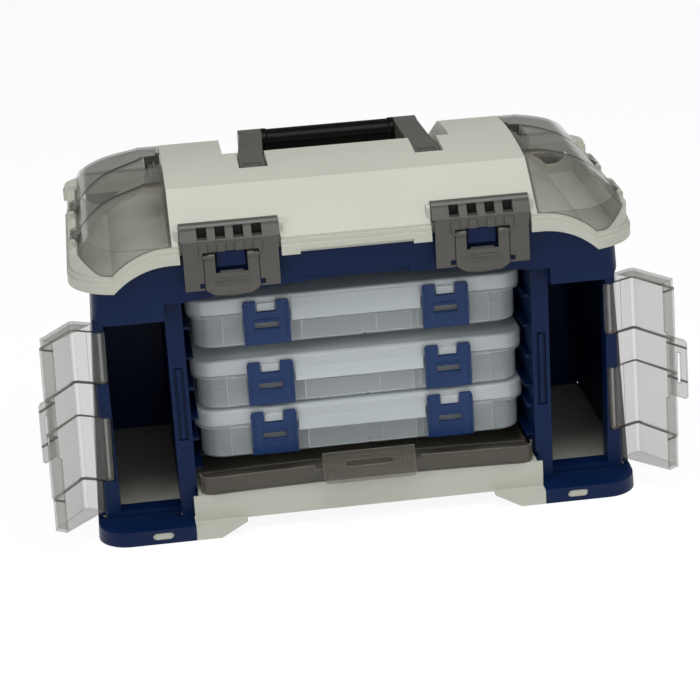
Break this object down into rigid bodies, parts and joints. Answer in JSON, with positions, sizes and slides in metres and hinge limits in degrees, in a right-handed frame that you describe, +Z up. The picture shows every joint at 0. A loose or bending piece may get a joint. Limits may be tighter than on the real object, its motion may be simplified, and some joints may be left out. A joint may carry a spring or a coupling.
{
  "type": "fishing tackle cabinet",
  "caption": "Portable tackle cabinet: moulded body with side bays and a rack of clear utility boxes, smoke doors, hinged lid with covered bait wells, latches and a carry handle.",
  "frame": {"origin": "on the floor under the middle of the body, midway between its sides and its front and back", "axes": "X to the right as seen from the front, Y to the back, Z up"},
  "size_m": [0.6752, 0.3261, 0.3755],
  "materials": {
    "navy_plastic": "moulded polypropylene, satin sheen",
    "pale_plastic": "moulded, light sheen",
    "grey_plastic": "moulded, fine texture",
    "dark_plastic": "moulded, smoked",
    "grip_rubber": "soft matt sleeve",
    "smoke_plastic": "smoke-tinted clear polycarbonate",
    "clear_plastic": "clear moulded polypropylene",
    "clip_plastic": "moulded, satin",
    "pin_steel": "plain drawn pin"
  },
  "bodies": {
    "cabinet": {"body_shell": "navy_plastic", "base_tray": "pale_plastic", "lid_hinge_pins": "pin_steel", "side_door_pins_left": "pin_steel", "side_door_pins_right": "pin_steel"},
    "lid": {"lid_shell": "pale_plastic", "handle_pins": "pin_steel", "latch_pin_left": "pin_steel", "bait_cover_pins_left": "pin_steel", "latch_pin_right": "pin_steel", "bait_cover_pins_right": "pin_steel"},
    "handle": {"handle_frame": "grey_plastic", "handle_grip": "grip_rubber"},
    "front_door": {"front_door": "smoke_plastic"},
    "bait_cover_left": {"bait_cover_left": "smoke_plastic"},
    "bait_cover_latch_left": {"bait_cover_latch_left": "dark_plastic"},
    "latch_left": {"latch_plate_left": "grey_plastic", "latch_paddle_pins_left": "pin_steel"},
    "latch_paddle_left": {"latch_paddle_left": "grey_plastic"},
    "side_door_left": {"side_door_left": "smoke_plastic"},
    "bait_cover_right": {"bait_cover_right": "smoke_plastic"},
    "bait_cover_latch_right": {"bait_cover_latch_right": "dark_plastic"},
    "latch_right": {"latch_plate_right": "grey_plastic", "latch_paddle_pins_right": "pin_steel"},
    "latch_paddle_right": {"latch_paddle_right": "grey_plastic"},
    "side_door_right": {"side_door_right": "smoke_plastic"},
    "box_1": {"box_1_tray": "clear_plastic", "box_1_lid": "clear_plastic", "box_1_hinge_pin": "pin_steel", "box_1_dividers": "clear_plastic"},
    "box_1_clip_left": {"box_1_clip_left": "clip_plastic"},
    "box_1_clip_right": {"box_1_clip_right": "clip_plastic"},
    "box_2": {"box_2_tray": "clear_plastic", "box_2_lid": "clear_plastic", "box_2_hinge_pin": "pin_steel", "box_2_dividers": "clear_plastic"},
    "box_2_clip_left": {"box_2_clip_left": "clip_plastic"},
    "box_2_clip_right": {"box_2_clip_right": "clip_plastic"},
    "box_3": {"box_3_tray": "clear_plastic", "box_3_lid": "clear_plastic", "box_3_hinge_pin": "pin_steel", "box_3_dividers": "clear_plastic"},
    "box_3_clip_left": {"box_3_clip_left": "clip_plastic"},
    "box_3_clip_right": {"box_3_clip_right": "clip_plastic"}
  },
  "joints": [
    {"name": "lid_hinge", "type": "hinge", "parent": "cabinet", "child": "lid", "pos_m": [0, 0.1475, 0.3015], "axis": [-1, 0, 0], "range_deg": [0, 95]},
    {"name": "handle_hinge", "type": "hinge", "parent": "lid", "child": "handle", "pos_m": [0, -0.037, 0.3595], "axis": [1, 0, 0], "range_deg": [0, 95]},
    {"name": "front_door_slide", "type": "slide", "parent": "cabinet", "child": "front_door", "axis": [0, -1, 0], "range_m": [0, 0.195]},
    {"name": "bait_cover_hinge_left", "type": "hinge", "parent": "lid", "child": "bait_cover_left", "pos_m": [-0.286, 0, 0.321], "axis": [0, -1, 0], "range_deg": [0, 105]},
    {"name": "bait_cover_latch_slide_left", "type": "slide", "parent": "bait_cover_left", "child": "bait_cover_latch_left", "axis": [-1, 0, 0], "range_m": [0, 0.0025], "stiffness_N_per_m": 400},
    {"name": "latch_hinge_left", "type": "hinge", "parent": "lid", "child": "latch_left", "pos_m": [-0.1285, -0.137, 0.337], "axis": [-1, 0, 0], "range_deg": [0, 95]},
    {"name": "latch_paddle_hinge_left", "type": "hinge", "parent": "latch_left", "child": "latch_paddle_left", "pos_m": [-0.1285, -0.1504, 0.3115], "axis": [-1, 0, 0], "range_deg": [0, 60], "stiffness_Nm_per_rad": 0.02},
    {"name": "side_door_hinge_left", "type": "hinge", "parent": "cabinet", "child": "side_door_left", "pos_m": [-0.2709, -0.1059, 0.13125], "axis": [0.024, 0, 0.9997], "range_deg": [0, 122]},
    {"name": "bait_cover_hinge_right", "type": "hinge", "parent": "lid", "child": "bait_cover_right", "pos_m": [0.286, 0, 0.321], "axis": [0, 1, 0], "range_deg": [0, 105]},
    {"name": "bait_cover_latch_slide_right", "type": "slide", "parent": "bait_cover_right", "child": "bait_cover_latch_right", "axis": [1, 0, 0], "range_m": [0, 0.0025], "stiffness_N_per_m": 400},
    {"name": "latch_hinge_right", "type": "hinge", "parent": "lid", "child": "latch_right", "pos_m": [0.1285, -0.137, 0.337], "axis": [-1, 0, 0], "range_deg": [0, 95]},
    {"name": "latch_paddle_hinge_right", "type": "hinge", "parent": "latch_right", "child": "latch_paddle_right", "pos_m": [0.1285, -0.1504, 0.3115], "axis": [-1, 0, 0], "range_deg": [0, 60], "stiffness_Nm_per_rad": 0.02},
    {"name": "side_door_hinge_right", "type": "hinge", "parent": "cabinet", "child": "side_door_right", "pos_m": [0.2709, -0.1059, 0.13125], "axis": [0.024, 0, -0.9997], "range_deg": [0, 122]},
    {"name": "box_1_slide", "type": "slide", "parent": "cabinet", "child": "box_1", "axis": [0, -1, 0], "range_m": [0, 0.23]},
    {"name": "box_1_clip_hinge_left", "type": "hinge", "parent": "box_1", "child": "box_1_clip_left", "pos_m": [-0.095, -0.101, 0.1977], "axis": [1, 0, 0], "range_deg": [0, 85], "stiffness_Nm_per_rad": 0.01},
    {"name": "box_1_clip_hinge_right", "type": "hinge", "parent": "box_1", "child": "box_1_clip_right", "pos_m": [0.095, -0.101, 0.1977], "axis": [1, 0, 0], "range_deg": [0, 85], "stiffness_Nm_per_rad": 0.01},
    {"name": "box_2_slide", "type": "slide", "parent": "cabinet", "child": "box_2", "axis": [0, -1, 0], "range_m": [0, 0.23]},
    {"name": "box_2_clip_hinge_left", "type": "hinge", "parent": "box_2", "child": "box_2_clip_left", "pos_m": [-0.095, -0.101, 0.1297], "axis": [1, 0, 0], "range_deg": [0, 85], "stiffness_Nm_per_rad": 0.01},
    {"name": "box_2_clip_hinge_right", "type": "hinge", "parent": "box_2", "child": "box_2_clip_right", "pos_m": [0.095, -0.101, 0.1297], "axis": [1, 0, 0], "range_deg": [0, 85], "stiffness_Nm_per_rad": 0.01},
    {"name": "box_3_slide", "type": "slide", "parent": "cabinet", "child": "box_3", "axis": [0, -1, 0], "range_m": [0, 0.033]},
    {"name": "box_3_clip_hinge_left", "type": "hinge", "parent": "box_3", "child": "box_3_clip_left", "pos_m": [-0.095, -0.101, 0.0732], "axis": [1, 0, 0], "range_deg": [0, 85], "stiffness_Nm_per_rad": 0.01},
    {"name": "box_3_clip_hinge_right", "type": "hinge", "parent": "box_3", "child": "box_3_clip_right", "pos_m": [0.095, -0.101, 0.0732], "axis": [1, 0, 0], "range_deg": [0, 85], "stiffness_Nm_per_rad": 0.01}
  ]
}
